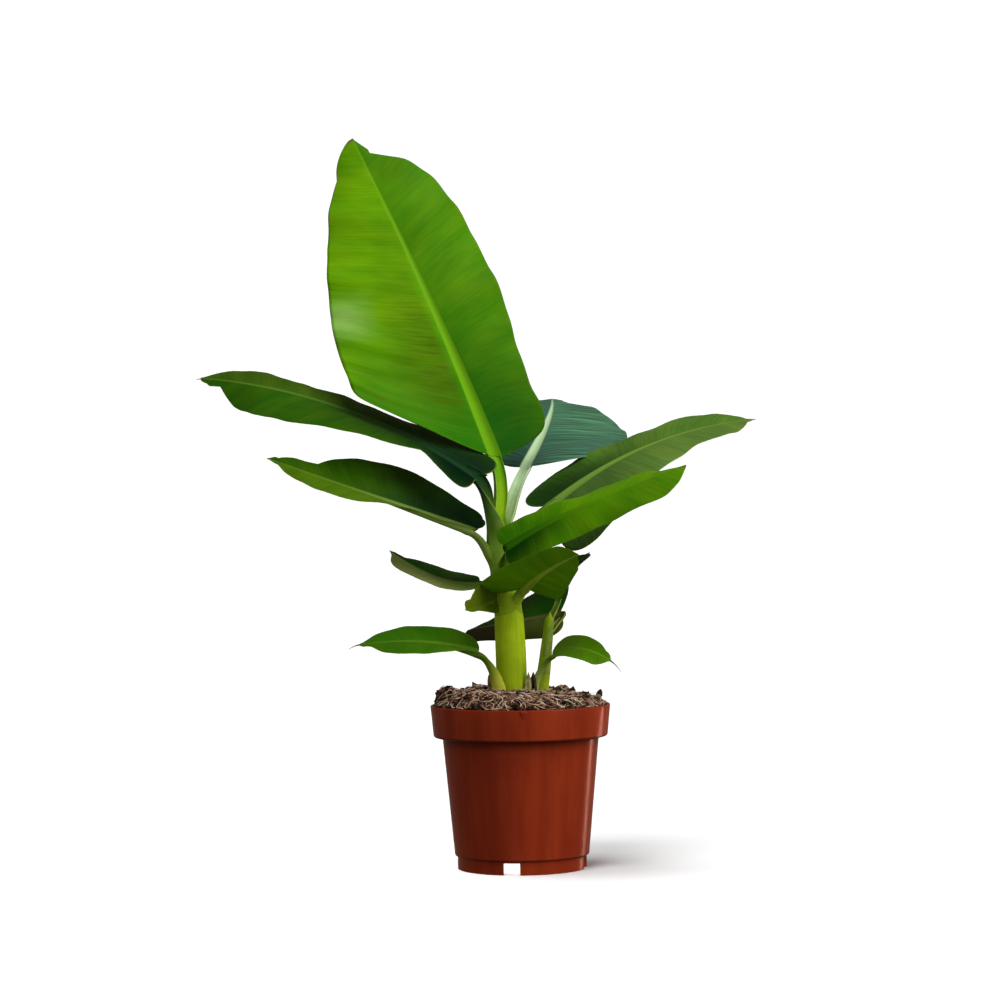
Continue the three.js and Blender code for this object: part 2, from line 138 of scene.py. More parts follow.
# Each leaf: base, middle and end are stations of the midrib from the pot's axis. left and right are half
# widths at a quarter, a half and three quarters of the length, seen from base to end. roll turns the blade
# about its midrib, lift folds each half up from it, curl bends it on, corner sweeps each base corner back
# and ear widens each half in a lobe near its base. blunt is where along the length each half runs out.
# sheath is how far the stalk's foot wraps the stem downward and layer how far out it lies. wave is the
# height of the margin's waves, thread the length of a dried tip, gloss how much the skin shines and streak
# how strongly its veins are lined. rise is how far the stalk first climbs, flare how far its sheath stands
# out, blush the tone of the dashes beside the midrib, and the sheen tone that of a patch of painted sheen by the
# margin.
# hues: colours of the left and the right half of the upper face, each at the base and further out, then of
# the underside, the midrib and the stalk's foot. The base tones are darker mostly as painted shade from the
# leaves above, and each blade shades into them toward its base and its midrib.
LEAVES = [
    dict(
        name="leaf_top", stem="main_stem", start=216, stalk=(6.5, 4.6),
        base=(-15, 4, 278), middle=(-58, 24, 385), end=(-112, 75, 502),
        left=(73, 67, 46.5), right=(41, 48, 43), ear=(10, 18), blunt=(1.05, 0.96), roll=(-52, -47, -43),
        lift=(2, 4), curl=(-10, -16), corner=(33, -31), sweep=5,
        sheath=40, layer=0.0, wave=1.5, lobe=0.12, painted_sheen=(150, 182, 110), blush=(70, 82, 2), margin=(92, 84, 34),
        hues=[(46, 106, 3), (92, 146, 4), (28, 82, 3), (70, 124, 4), (120, 150, 60), (100, 154, 18), (140, 178, 26)],
    ),
    # leaf_upper_left: its near-black base tones and dark midrib, which also darken the top of its stalk, are painted
    # shade under leaf_top.
    dict(
        name="leaf_upper_left", stem="main_stem", start=196, stalk=(11, 4.9),
        base=(-28, -16, 265), middle=(-121, 7, 312), end=(-216, 36, 334),
        left=(15.5, 43, 33), right=(19, 19, 16), ear=(28, 11), blunt=(1.1, 1), roll=(-50, -26.5, -61),
        lift=(28, 1), curl=(-14, -14), corner=(-42, -54), sweep=8,
        sheath=46, layer=0.5, wave=0.6, arrival=0.2, rib_out=(76, 112, 34), rise=0.22, flare=4.5, thread=4,
        hues=[(3, 26, 12), (40, 82, 3), (10, 36, 14), (56, 86, 12), (80, 100, 40), (22, 54, 27), (130, 172, 56)],
    ),
    # leaf_upper_right: the grey-green tones of its right half paint part of its sheen.
    dict(
        name="leaf_upper_right", stem="main_stem", start=200, stalk=(4.4, 3.4),
        base=(22.5, -1.5, 244.2), middle=(88, 15, 283), end=(164, 36, 301),
        left=(33, 38, 43), right=(46, 31, 20.5), ear=(4, 0), roll=(46, 24, 19),
        lift=(-15, 0), curl=(-8, -5), corner=(-46.5, -35), sweep=14,
        sheath=46, layer=0.4, wave=0.9, gloss=0.1, streak=2,
        hues=[(18, 56, 8), (72, 116, 26), (60, 92, 34), (82, 114, 40), (100, 125, 70), (104, 138, 48), (120, 150, 50)],
    ),
    dict(
        name="leaf_back", stem="main_stem", start=214, stalk=(6.4, 3.8),
        base=(6, 30, 270.5), middle=(23, 107, 304), end=(27, 173, 321.5),
        left=(45, 51, 44), right=(53, 57, 40), roll=(-6, 13, -2),
        lift=(11, 8), curl=(-11, -12), corner=(-20, -20), sweep=11,
        sheath=40, layer=0.2, wave=0.8, rise=0.25, gloss=0.15, streak=8,
        hues=[(34, 78, 60), (40, 86, 68), (48, 94, 74), (58, 108, 80), (120, 150, 120), (172, 200, 154), (160, 190, 112)],
    ),
    dict(
        name="leaf_mid_left", stem="main_stem", start=172, stalk=(8, 3.7),
        base=(-32.5, -7, 228.4), middle=(-100, -25, 252.8), end=(-165, -42, 277.2),
        left=(1, 21, 21), right=(31.5, 36, 10.5), ear=(0, 13), roll=(-3, -26, -34),
        lift=(20, 32), curl=(-5, -3), corner=(-2, -61), sweep=14,
        sheath=46, layer=0.8, wave=0.6, rise=0.3, arrival=0.2, rib_out=(84, 112, 26), flare=1.6,
        hues=[(84, 108, 30), (66, 98, 8), (18, 48, 24), (44, 80, 3), (90, 110, 50), (120, 146, 64), (140, 168, 30)],
    ),
    dict(
        name="leaf_mid_right", stem="main_stem", start=176, stalk=(4.6, 3),
        base=(-8, -42, 217), middle=(42, -51, 243), end=(109.5, -66.5, 269),
        left=(20, 17, 13.5), right=(18, 22, 25), ear=(7, 4), roll=(50, 38, 24),
        lift=(-4, -14), curl=(-14, -10), corner=(-30, -46), sweep=14,
        sheath=46, layer=0.7, wave=0.9, arrival=0.1, rib_out=(84, 132, 6), blunt=(0.97, 1.02),
        hues=[(44, 98, 2), (84, 134, 4), (8, 46, 2), (76, 126, 4), (110, 140, 50), (40, 88, 4), (140, 168, 30)],
    ),
    dict(
        name="leaf_front", stem="main_stem", start=158, stalk=(5, 3.6),
        base=(4, -19, 189), middle=(18, -63, 201), end=(37.5, -109, 212.5),
        left=(22, 17, 11), right=(26, 18.5, 12.5), roll=(0, -22, -45),
        lift=(-16, -14), curl=(-10, 30), corner=(-25, -54), sweep=14,
        sheath=44, layer=1.3, wave=0.6, ear=(0, 6), blunt=(0.97, 1),
        hues=[(48, 84, 4), (70, 104, 14), (48, 84, 4), (70, 104, 14), (90, 144, 4), (146, 176, 48), (170, 196, 28)],
    ),
    dict(
        name="leaf_front_left", stem="main_stem", start=150, stalk=(3.6, 2.4),
        base=(-15, -8, 178.5), middle=(-25, -25, 177.8), end=(-35.5, -43, 175.5),
        left=(7, 4.5, 1.5), right=(15, 11, 4), roll=(-60, -55, -45),
        lift=(8, 36), curl=(-9, -4), corner=(0, -10), sweep=12,
        sheath=0, layer=1.0, wave=0.3,
        hues=[(68, 90, 8), (74, 94, 12), (66, 88, 8), (72, 92, 10), (80, 96, 24), (80, 98, 18), (160, 184, 26)],
    ),
    dict(
        name="leaf_low_left", stem="main_stem", start=166, stalk=(3.4, 2.4),
        base=(-25, 9, 191.3), middle=(-55, 23, 195.6), end=(-88, 36, 214),
        left=(18, 20, 17), right=(16, 21, 14), roll=(-29, -8, -22),
        lift=(10, 12), curl=(-9, -10), corner=(-25, -25), sweep=11,
        sheath=0, layer=0.9, wave=0.4,
        hues=[(84, 112, 26), (130, 146, 74), (24, 72, 10), (34, 84, 12), (80, 90, 50), (116, 136, 58), (160, 182, 26)],
    ),
    dict(
        name="leaf_bottom_left", stem="main_stem", start=120, beside=(-7, -9), stalk=(6.4, 3.4),
        base=(-28, -14, 146), middle=(-66, -26, 154), end=(-107.5, -36, 153),
        left=(15, 24, 17), right=(21, 19, 13), roll=(-20, -24, -26),
        lift=(24, 22), curl=(-12, -13), corner=(-9, -25), sweep=10,
        sheath=0, layer=1.4, wave=0.4, rise=0.15, thread=6,
        hues=[(64, 100, 8), (52, 96, 3), (50, 90, 5), (46, 94, 5), (90, 120, 40), (74, 112, 18), (200, 204, 66)],
    ),
    dict(
        name="offshoot_leaf_back", stem="offshoot_stem", start=150, stalk=(2.2, 1.8),
        base=(28, 24, 170), middle=(-4, 38, 164), end=(-35.5, 49, 158),
        left=(22, 22, 21), right=(33, 27, 15), roll=(-46, -26, -14),
        lift=(2, 16), curl=(-15, -11), corner=(-34, -24), sweep=12,
        sheath=20, layer=0.2, wave=0.3, blunt=(1.06, 0.97),
        hues=[(92, 104, 40), (40, 40, 16), (40, 96, 14), (30, 70, 12), (70, 84, 30), (120, 116, 64), (150, 170, 64)],
    ),
    dict(
        name="offshoot_leaf_right", stem="offshoot_stem", start=120, beside=(-6, -5), stalk=(4, 2.4),
        base=(22, -4, 143), middle=(40, -18, 148), end=(61, -30, 139.5),
        left=(16, 14, 8), right=(16, 15, 13), roll=(24, 20, 24),
        lift=(23, 12), curl=(-9, -12), corner=(-25, -10), sweep=12,
        sheath=0, layer=0.6, wave=0.3, rise=0.3, thread=8,
        hues=[(92, 126, 26), (74, 118, 5), (86, 124, 18), (78, 120, 9), (90, 120, 40), (106, 144, 36), (170, 182, 86)],
    ),
    dict(
        name="offshoot_leaf_top", stem="offshoot_stem", start=158, stalk=(2.8, 2),
        base=(27, 12, 181), middle=(34, 20, 196), end=(49, 32, 211),
        left=(12, 12, 9), right=(14, 12, 10), roll=(0, -3, 0),
        lift=(30, 29), curl=(10, 8), corner=(-25, -25), sweep=12,
        sheath=16, layer=0.2, wave=0.3,
        hues=[(60, 96, 26), (44, 76, 18), (60, 96, 26), (44, 76, 18), (76, 108, 40), (120, 146, 60), (120, 144, 56)],
    ),
]
HUES = ("left_base", "left_out", "right_base", "right_out", "lower", "rib", "foot")
for each in LEAVES:
    each.update(zip(HUES, each["hues"]))


def unit(vectors):
    return vectors / np.linalg.norm(vectors, axis=-1, keepdims=True)


def smooth(low, high, value):
    share = np.clip((value - low) / (high - low), 0, 1)
    return share * share * (3 - 2 * share)


def blend(first, second, share):
    return first + (second - first) * share


def along(values, t):
    start, middle, end = values
    return start * (1 - t) * (1 - 2 * t) + middle * 4 * t * (1 - t) + end * t * (2 * t - 1)


def curve_at(stations, t):
    """Places and directions at shares t of the smooth curve through three stations."""
    start, middle, end = (np.array(s, float) for s in stations)
    t = np.asarray(t, float)[:, None]
    pull = 2 * middle - (start + end) / 2
    places = start * (1 - t) ** 2 + pull * 2 * t * (1 - t) + end * t**2
    ways = unit((pull - start) * (1 - t) + (end - pull) * t)
    return places, ways


def waves(x, y, size, seed):
    """Smooth random height from -1 to 1 over a plane, with features about size across."""
    random = np.random.default_rng(seed)
    total = np.zeros(np.broadcast(x, y).shape)
    count = 7
    for _ in range(count):
        turn = random.uniform(0, 2 * math.pi)
        scale = 2 * math.pi / (size * random.uniform(0.7, 1.6))
        phase = random.uniform(0, 2 * math.pi)
        total += np.sin((x * math.cos(turn) + y * math.sin(turn)) * scale + phase)
    return total / math.sqrt(count) / 1.4


def tint(red, green, blue):
    """Linear colour from everyday 0 to 255 values."""
    shares = np.array([red, green, blue]) / 255
    linear = np.where(shares <= 0.04045, shares / 12.92, ((shares + 0.055) / 1.055) ** 2.4)
    return (*linear.tolist(), 1.0)


def shade(colour, factor):
    return tuple(min(255, c * factor) for c in colour)


def grid_faces(rows, columns, first=0, closed=False):
    index = first + np.arange(rows * columns).reshape(rows, columns)
    if closed:
        index = np.hstack([index, index[:, :1]])
    corners = [index[:-1, :-1], index[:-1, 1:], index[1:, 1:], index[1:, :-1]]
    return np.stack(corners, axis=-1).reshape(-1, 4)


def shell(upper, lower):
    """Points and faces of a thin closed body between two grids of points."""
    rows, columns = upper.shape[:2]
    count = rows * columns
    index = np.arange(count).reshape(rows, columns)
    border = np.concatenate([index[0, :-1], index[:-1, -1], index[-1, :0:-1], index[:0:-1, 0]])
    following = np.roll(border, -1)
    strip = np.stack([border, border + count, following + count, following], axis=-1)
    faces = [
        grid_faces(rows, columns),
        grid_faces(rows, columns, count)[:, ::-1],
        strip,
    ]
    points = np.concatenate([upper.reshape(-1, 3), lower.reshape(-1, 3)])
    return points, np.concatenate(faces)


def piece(name, points, faces, material, nodes=(), fields=None, soft=True):
    """A mesh of the object from points in millimetres off the pot's axis."""
    mesh = bpy.data.meshes.new(name)
    places = np.asarray(points, float) * MM + POT_AXIS
    mesh.from_pydata(places.tolist(), [], [list(face) for face in faces])
    for field, values in (fields or {}).items():
        attribute = mesh.attributes.new(field, "FLOAT", "POINT")
        attribute.data.foreach_set("value", np.asarray(values, np.float32).ravel())
    if soft:
        mesh.shade_smooth()
    mesh.materials.append(material)
    made = bpy.data.objects.new(name, mesh)
    bpy.context.scene.collection.objects.link(made)
    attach(made, "root")
    if nodes:
        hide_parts(*nodes)
    return made


class Shader:
    """A node material being put together: each method adds a node and gives back its output."""

    def __init__(self, name, **plain):
        self.material = bpy.data.materials.new(name)
        self.material.use_nodes = True
        self.tree = self.material.node_tree
        self.surface = self.tree.nodes["Principled BSDF"]
        for socket, value in plain.items():
            self.surface.inputs[socket.replace("_", " ")].default_value = value

    def feed(self, socket, value):
        if isinstance(value, bpy.types.NodeSocket):
            self.tree.links.new(value, socket)
        else:
            socket.default_value = value

    def node(self, kind, inputs, output=0, **settings):
        made = self.tree.nodes.new(kind)
        for setting, value in settings.items():
            setattr(made, setting, value)
        for socket, value in inputs.items():
            self.feed(made.inputs[socket], value)
        return made.outputs[output]

    def field(self, name):
        return self.node("ShaderNodeAttribute", {}, "Fac", attribute_name=name)

    def place(self):
        return self.node("ShaderNodeTexCoord", {}, "Object")

    def math(self, operation, first, second=0.0):
        return self.node("ShaderNodeMath", {0: first, 1: second}, operation=operation)

    def vector(self, x, y, z):
        return self.node("ShaderNodeCombineXYZ", {0: x, 1: y, 2: z})

    def stretch(self, vector, factors):
        return self.node("ShaderNodeVectorMath", {0: vector, 1: factors}, operation="MULTIPLY")

    def noise(self, vector, scale, detail=3.0, roughness=0.55):
        inputs = {"Vector": vector, "Scale": scale, "Detail": detail, "Roughness": roughness}
        return self.node("ShaderNodeTexNoise", inputs, "Fac")

    def step(self, value, low, high, start=0.0, end=1.0):
        inputs = {"Value": value, "From Min": low, "From Max": high, "To Min": start, "To Max": end}
        return self.node("ShaderNodeMapRange", inputs, interpolation_type="SMOOTHSTEP")

    def mix(self, share, first, second):
        return self.node("ShaderNodeMix", {0: share, 6: first, 7: second}, 2, data_type="RGBA")

    def vary(self, colour, hue, value):
        inputs = {"Color": colour, "Hue": hue, "Value": value}
        return self.node("ShaderNodeHueSaturation", inputs, "Color")

    def bump(self, height, strength, distance):
        inputs = {"Strength": strength, "Distance": distance, "Height": height}
        return self.node("ShaderNodeBump", inputs, "Normal")

    def finish(self, **linked):
        for socket, value in linked.items():
            self.feed(self.surface.inputs[socket.replace("_", " ")], value)
        return self.material


def pot_material():
    shader = Shader("glossy_brown_plastic", Specular_IOR_Level=POT_GLOSS)
    place = shader.place()
    flow = shader.noise(shader.stretch(place, (1, 1, 0.08)), 70, 4)
    cloud = shader.noise(place, 22, 4)
    dust = shader.noise(place, 900, 2)
    colour = shader.mix(shader.step(flow, 0.35, 0.65), tint(126, 40, 17), tint(142, 49, 22))
    colour = shader.mix(shader.step(cloud, 0.5, 0.75, 0, 0.5), colour, tint(113, 33, 13))
    # Painted shade under the rim band's ledge: darkest right beneath it and fading out about 9 mm lower.
    height = shader.node("ShaderNodeSeparateXYZ", {0: place}, "Z")
    under_band = (POT_HEIGHT - BAND_HEIGHT + 0.6) * MM
    shade = shader.step(height, under_band - 0.009, under_band, 0, 0.75)
    shade = shader.math("MULTIPLY", shade, shader.step(height, under_band, under_band + 0.0012, 1, 0))
    colour = shader.mix(shade, colour, tint(46, 9, 4))
    # Painted shade: a thin dark line in the crease where the body steps onto the foot ring.
    over_ring = (RING_HEIGHT + FOOT_STEP) * MM
    crease_shade = shader.step(shader.math("ABSOLUTE", shader.math("SUBTRACT", height, over_ring)), 0, 0.0014, 0.6, 0)
    colour = shader.mix(crease_shade, colour, tint(46, 9, 4))
    roughness = shader.step(cloud, 0.3, 0.7, 0.16, 0.24)
    grain = shader.math("ADD", shader.math("MULTIPLY", flow, 0.5), shader.math("MULTIPLY", dust, 0.06))
    return shader.finish(Base_Color=colour, Roughness=roughness, Normal=shader.bump(grain, 0.1, 0.0008))


def crumb_material(name, dark, light, size, roughness):
    """Earth, bark and fibre: two tones mottled at a size in millimetres."""
    shader = Shader(name, Roughness=roughness, Specular_IOR_Level=SOIL_GLOSS)
    grain = shader.noise(shader.place(), 1 / (size * MM), 4)
    colour = shader.mix(shader.step(grain, 0.38, 0.62), tint(*dark), tint(*light))
    return shader.finish(Base_Color=colour, Normal=shader.bump(grain, 0.4, 0.0006))


def blade_material(leaf):
    """Two-faced leaf: base and outer tones on each half, the darker base tones mostly painted shade, side veins, broad
    bands, midrib and margin.
    """
    shader = Shader(leaf["name"] + "_skin", Specular_IOR_Level=leaf.get("gloss", LEAF_GLOSS))
    length = shader.field("length")
    vein = shader.field("vein")
    rib = shader.field("rib")
    seed = float(len(leaf["name"]) * 3 + leaf["start"])
    lines = shader.noise(
        shader.vector(shader.math("MULTIPLY", vein, 0.8), shader.math("MULTIPLY", rib, 0.025), seed), 1
    )
    bands = shader.noise(
        shader.vector(shader.math("MULTIPLY", vein, 0.06), shader.math("MULTIPLY", rib, 0.02), seed + 9), 1
    )
    cloud = shader.noise(shader.place(), CLOUD_SCALE, 2)
    # Mostly painted shade: each half, and the midrib, runs from its darker base tone near the base and the midrib to
    # its outer tone further out.
    outward_tone_and_light = shader.step(
        shader.math("ADD", length, shader.math("MULTIPLY", shader.field("span"), 0.2)), 0.12, 0.7
    )
    left = shader.mix(outward_tone_and_light, tint(*leaf["left_base"]), tint(*leaf["left_out"]))
    right = shader.mix(outward_tone_and_light, tint(*leaf["right_base"]), tint(*leaf["right_out"]))
    side = shader.field("side")
    colour = shader.mix(shader.field("upper"), tint(*leaf["lower"]), shader.mix(side, left, right))
    depth = 0.08 * leaf.get("streak", 1)
    value = shader.math("MULTIPLY", shader.step(cloud, 0.3, 0.7, 0.86, 1.12), shader.step(bands, 0.3, 0.7, 0.9, 1.08))
    value = shader.math("MULTIPLY", value, shader.step(lines, 0.3, 0.7, 1 - depth, 1 + depth))
    colour = shader.vary(colour, shader.step(bands, 0.3, 0.7, 0.508, 0.49), value)
    if "blush" in leaf:
        dashes = shader.noise(
            shader.vector(shader.math("MULTIPLY", vein, 0.6), shader.math("MULTIPLY", rib, 0.04), seed + 21), 1
        )
        where = shader.math("MULTIPLY", shader.step(length, 0.08, 0.25), shader.step(length, 0.4, 0.68, 1, 0))
        where = shader.math("MULTIPLY", where, shader.step(rib, 1, 7))
        where = shader.math("MULTIPLY", where, shader.step(rib, 12, 48, 1, 0))
        where = shader.math("MULTIPLY", where, shader.step(side, 0, 1, 1, 0))
        share = shader.math("MULTIPLY", where, shader.step(dashes, 0.4, 0.68, 0.3, 0.75))
        colour = shader.mix(share, colour, tint(*leaf["blush"]))
        # Painted sheen: a pale patch along the left margin, part way out, stands in for light glancing off the blade.
        edge = shader.field("edge")
        where = shader.math("MULTIPLY", shader.step(length, 0.4, 0.46), shader.step(length, 0.52, 0.6, 1, 0))
        where = shader.math("MULTIPLY", where, shader.step(edge, 8, 34, 1, 0))
        where = shader.math("MULTIPLY", where, shader.step(side, 0, 1, 1, 0))
        share = shader.math("MULTIPLY", where, shader.step(bands, 0.3, 0.6, 0.1, 0.45))
        colour = shader.mix(share, colour, tint(*leaf["painted_sheen"]))
    midrib = shader.mix(outward_tone_and_light, tint(*leaf["rib"]), tint(*leaf.get("rib_out", leaf["rib"])))
    colour = shader.mix(shader.step(rib, -0.7, 0.9, 0.95, 0), colour, midrib)
    margin = tint(*leaf.get("margin", MARGIN_TINT))
    colour = shader.mix(shader.step(shader.field("edge"), 0.1, 0.6, 0.5, 0), colour, margin)
    colour = shader.mix(shader.step(length, 0.985, 0.998, 0, 0.8), colour, tint(*DRY_TINT))
    roughness = shader.step(lines, 0.3, 0.7, 0.42, 0.5)
    return shader.finish(Base_Color=colour, Roughness=roughness, Normal=shader.bump(lines, 0.2, 0.0005))


def stalk_material(leaf):
    """Stalk and sheath: fine lengthwise lines from the foot's colour to the midrib's, with paler lips."""
    shader = Shader(leaf["name"] + "_stalk_skin", Specular_IOR_Level=leaf.get("gloss", LEAF_GLOSS))
    run = shader.field("run")
    across = shader.field("across")
    lines = shader.noise(
        shader.vector(shader.math("MULTIPLY", across, 9), shader.math("MULTIPLY", run, 0.6), float(leaf["start"])),
        1, 4,
    )
    cloud = shader.noise(shader.place(), 90, 4)
    colour = shader.mix(shader.step(run, 0.15, 0.9), tint(*leaf["foot"]), tint(*leaf["rib"]))
    value = shader.math("MULTIPLY", shader.step(lines, 0.3, 0.7, 0.9, 1.08), shader.step(cloud, 0.3, 0.7, 0.9, 1.1))
    colour = shader.vary(colour, shader.step(cloud, 0.3, 0.7, 0.506, 0.494), value)
    lip = shader.step(shader.math("ABSOLUTE", across), 0.93, 1, 0, 0.45)
    lip = shader.math("MULTIPLY", lip, shader.step(run, 0.6, 0.9, 1, 0))
    colour = shader.mix(lip, colour, tint(*LIP_TINT))
    roughness = shader.step(lines, 0.3, 0.7, 0.36, 0.48)
    return shader.finish(Base_Color=colour, Roughness=roughness, Normal=shader.bump(lines, 0.25, 0.0006))


def round_off(corners, steps=5):
    """Profile of (radius, height) from corners of (radius, height, rounding)."""
    profile = []
    for i, (radius, height, rounding) in enumerate(corners):
        spot = np.array([radius, height], float)
        if rounding == 0 or i in (0, len(corners) - 1):
            profile.append(spot)
            continue
        before = np.array(corners[i - 1][:2], float) - spot
        after = np.array(corners[i + 1][:2], float) - spot
        start = spot + before / np.linalg.norm(before) * rounding
        end = spot + after / np.linalg.norm(after) * rounding
        for share in np.linspace(0, 1, steps):
            profile.append(start * (1 - share) ** 2 + spot * 2 * share * (1 - share) + end * share**2)
    return np.array(profile)


def pot_profile(ring_foot):
    """Once round the pot's wall, from the middle of its underside to the middle of its floor inside."""
    band_foot = POT_HEIGHT - BAND_HEIGHT
    inner_ring = RING_RADIUS - RING_WALL
    corners = [
        (0, FLOOR_HEIGHT, 0),
        (inner_ring, FLOOR_HEIGHT, 0.3),
        (inner_ring, ring_foot, 0.3),
        (RING_RADIUS, ring_foot, 0.3),
        (RING_RADIUS, RING_HEIGHT, 0.3),
        (BODY_FOOT_RADIUS, RING_HEIGHT + FOOT_STEP, 0.8),
        (SHOULDER_RADIUS, band_foot - LEDGE_DROP, 0.6),
        (BAND_FOOT_RADIUS, band_foot, 1.5),
        (RIM_RADIUS, POT_HEIGHT, 0.7),
        (RIM_RADIUS - POT_WALL, POT_HEIGHT, 0.7),
        (BAND_FOOT_RADIUS - POT_WALL, band_foot + POT_WALL, 0.6),
        (SHOULDER_RADIUS - POT_WALL, band_foot + POT_WALL - LEDGE_DROP, 0.6),
        (BODY_FOOT_RADIUS - POT_WALL, FLOOR_HEIGHT + POT_WALL, 0.8),
        (0, FLOOR_HEIGHT + POT_WALL, 0),
    ]
    return round_off(corners)


def build_pot():
    plain = pot_profile(0)
    cut = pot_profile(RING_HEIGHT - 0.5)
    half = math.degrees(math.asin(NOTCH_WIDTH / 2 / RING_RADIUS))
    turns = []
    profiles = []
    for i in range(NOTCHES):
        middle = NOTCH_TURN + 360 * i / NOTCHES
        following = middle + 360 / NOTCHES
        steps = POT_SIDES // NOTCHES
        for turn in np.linspace(middle - half, middle + half, 9):
            turns.append(turn)
            profiles.append(cut)
        for turn in np.linspace(middle + half, following - half, steps):
            turns.append(turn)
            profiles.append(plain)
    angles = np.radians(turns)
    rows = []
    for angle, profile in zip(angles, profiles):
        rows.append(
            np.stack([profile[:, 0] * np.cos(angle), profile[:, 0] * np.sin(angle), profile[:, 1]], axis=-1)
        )
    grid = np.array(rows)
    grid = np.concatenate([grid, grid[:1]])
    points = grid.reshape(-1, 3)
    faces = grid_faces(grid.shape[0], grid.shape[1])
    material = pot_material()
    made = piece("pot_shell", points, faces, material, ["pot"])
    weld(made)
    build_gate_mark(material)
    return made


def build_gate_mark(material):
    """The small wedge left by moulding, on the front of the band just under the rim."""
    rows = 7
    columns = 9
    down = np.linspace(0, 1, rows)[:, None]
    across = np.linspace(-1, 1, columns)[None, :]
    x = GATE_PLACE + across * GATE_WIDTH / 2 * (1 - 0.85 * down**1.5)
    z = POT_HEIGHT - 0.8 - GATE_HEIGHT * down + 0 * across
    wall = blend(RIM_RADIUS, BAND_FOOT_RADIUS, (POT_HEIGHT - z) / BAND_HEIGHT)
    back = -np.sqrt(wall**2 - x**2)
    bulge = GATE_DEPTH * (1 - across**4) * (1 - 0.7 * down)
    outer = np.stack([x, back - bulge, z], axis=-1)
    inner = np.stack([x, back + 0.5, z], axis=-1)
    points, faces = shell(outer, inner)
    piece("pot_gate_mark", points, faces[:, ::-1], material)


def weld(made, distance=0.00001):
    """Joins points that fall together, so that a mesh of revolution closes."""
    work = bmesh.new()
    work.from_mesh(made.data)
    bmesh.ops.remove_doubles(work, verts=work.verts, dist=distance)
    bmesh.ops.recalc_face_normals(work, faces=work.faces)
    work.to_mesh(made.data)
    work.free()
    made.data.shade_smooth()
    made.data.set_sharp_from_angle(angle=math.radians(50))


def heap_height(x, y):
    """Height of the potting mix: a flat-topped heap, lower to the right, with clumps and hollows."""
    radius = np.hypot(x, y)
    share = np.clip((SOIL_EDGE - radius) / (SOIL_EDGE - HEAP_FLAT_RADIUS), 0, 1)
    bumps = 0.9 * waves(x, y, 13, 5)
    for place_x, place_y, rise, spread in CLUMPS:
        bumps = bumps + rise * np.exp(-((x - place_x) ** 2 + (y - place_y) ** 2) / spread**2)
    fade = smooth(0, 4, SOIL_EDGE - radius)
    tilt = HEAP_TILT * np.maximum(x, 0)
    return POT_HEIGHT + HEAP_HEIGHT * (1 - (1 - share) ** HEAP_POWER) + fade * (bumps - tilt)


def build_soil_bed():
    radii = np.linspace(0.01, SOIL_EDGE, 70)[:, None]
    turns = np.linspace(0, 2 * math.pi, 220, endpoint=False)[None, :]
    x = radii * np.cos(turns)
    y = radii * np.sin(turns)
    fade = 1 - smooth(SOIL_EDGE - 4, SOIL_EDGE, radii)
    z = heap_height(x, y) - 1.8 + fade * (0.8 * waves(x, y, 7, 3) + 0.6 * waves(x, y, 3, 4))
    top = np.stack([x, y, z], axis=-1)
    floor = FLOOR_HEIGHT + POT_WALL + 0.4
    wall = [
        (SOIL_EDGE, POT_HEIGHT - 2.5),
        (BAND_FOOT_RADIUS - POT_WALL - 0.4, POT_HEIGHT - BAND_HEIGHT + POT_WALL + 0.4),
        (SHOULDER_RADIUS - POT_WALL - 0.4, POT_HEIGHT - BAND_HEIGHT + POT_WALL - LEDGE_DROP),
        (BODY_FOOT_RADIUS - POT_WALL - 0.4, floor),
        (0.01, floor),
    ]
    rows = [top]
    for radius, height in wall:
        ring = np.stack([radius * np.cos(turns), radius * np.sin(turns), height + 0 * turns], axis=-1)
        rows.append(ring)
    grid = np.concatenate(rows)[::-1]
    faces = grid_faces(grid.shape[0], grid.shape[1], closed=True)
    material = crumb_material("potting_mix", (30, 20, 16), (56, 42, 34), 2.5, 0.9)
    made = piece("soil_bed", grid.reshape(-1, 3), faces, material, ["soil"])
    weld(made)


def spots(random, count, most=SOIL_EDGE - 1.4):
    """Random places on the heap, each with its height."""
    radius = most * np.sqrt(random.uniform(0, 1, count))
    turn = random.uniform(0, 2 * math.pi, count)
    x = radius * np.cos(turn)
    y = radius * np.sin(turn)
    return np.stack([x, y, heap_height(x, y) - 1.4], axis=-1)


def random_turns(random, count, tilt):
    """Rotation matrices: any heading, and a lean of up to tilt radians."""
    heading = random.uniform(0, 2 * math.pi, count)
    lean = random.uniform(-tilt, tilt, count)
    spin = random.uniform(-tilt, tilt, count)
    turns = []
    for a, b, c in zip(heading, lean, spin):
        turns.append(np.array(Matrix.Rotation(a, 3, "Z") @ Matrix.Rotation(b, 3, "Y") @ Matrix.Rotation(c, 3, "X")))
    return np.array(turns)


def crumb_shape():
    """A 20-sided ball: its corners and faces."""
    corners = []
    for a in (-1, 1):
        for b in (-GOLDEN, GOLDEN):
            corners += [(0, a, b), (a, b, 0), (b, 0, a)]
    corners = unit(np.array(corners, float))
    gaps = np.linalg.norm(corners[:, None] - corners[None], axis=-1)
    near = np.min(gaps[gaps > 0.01]) * 1.05
    faces = []
    for i in range(12):
        for j in range(i + 1, 12):
            for k in range(j + 1, 12):
                if gaps[i, j] < near and gaps[j, k] < near and gaps[i, k] < near:
                    normal = np.cross(corners[j] - corners[i], corners[k] - corners[i])
                    outward_tone_and_light = np.dot(normal, corners[i]) > 0
                    faces.append((i, j, k) if outward_tone_and_light else (i, k, j))
    return corners, np.array(faces)


